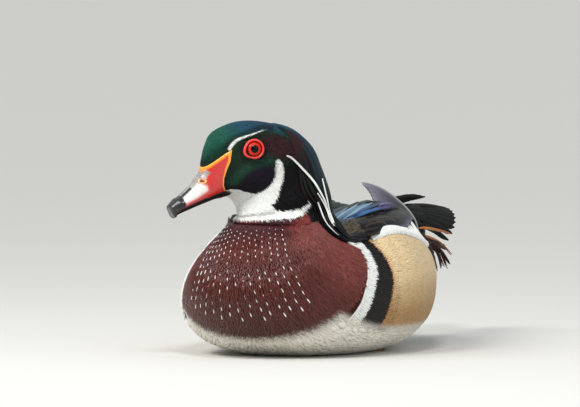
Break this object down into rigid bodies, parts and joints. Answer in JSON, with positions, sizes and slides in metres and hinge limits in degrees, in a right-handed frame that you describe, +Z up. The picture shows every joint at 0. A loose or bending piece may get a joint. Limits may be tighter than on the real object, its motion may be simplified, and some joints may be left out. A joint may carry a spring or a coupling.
{
  "type": "wood duck figure",
  "caption": "Life-size drake wood duck resting on its belly with its head turned to its right.",
  "frame": {"origin": "middle of the whole bird's length and width, at floor level under the belly", "axes": "+Y towards the tail, +X to the bird's left, +Z up"},
  "size_m": [0.1484, 0.3129, 0.1444],
  "materials": {
    "feather_green": "glossy green-black head feathers",
    "feather_white": "matt white feathers",
    "feather_chestnut": "satin chestnut feathers",
    "feather_buff": "matt buff feathers",
    "feather_blue": "glossy blue-black wing feathers",
    "feather_dark": "satin black-brown feathers",
    "feather_rust": "rust-red plumes",
    "horn_red": "satin bill skin",
    "horn_dark": "satin black bill",
    "eye_red": "wet clear eye",
    "lid_red": "satin bare skin",
    "skin_ochre": "matt scaled skin"
  },
  "bodies": {
    "root": {"bill_lower": "horn_dark", "bill_upper": "horn_red", "crest": "feather_green", "eye_left": "eye_red", "eye_right": "eye_red", "eyelid_left": "lid_red", "eyelid_right": "lid_red", "flank_left": "feather_buff", "flank_right": "feather_buff", "foot_left": "skin_ochre", "foot_right": "skin_ochre", "head": "feather_green", "neck": "feather_white", "plumes_left": "feather_rust", "plumes_right": "feather_rust", "tail": "feather_dark", "torso": "feather_chestnut", "undertail": "feather_dark", "wing_left": "feather_blue", "wing_right": "feather_blue"}
  },
  "joints": []
}
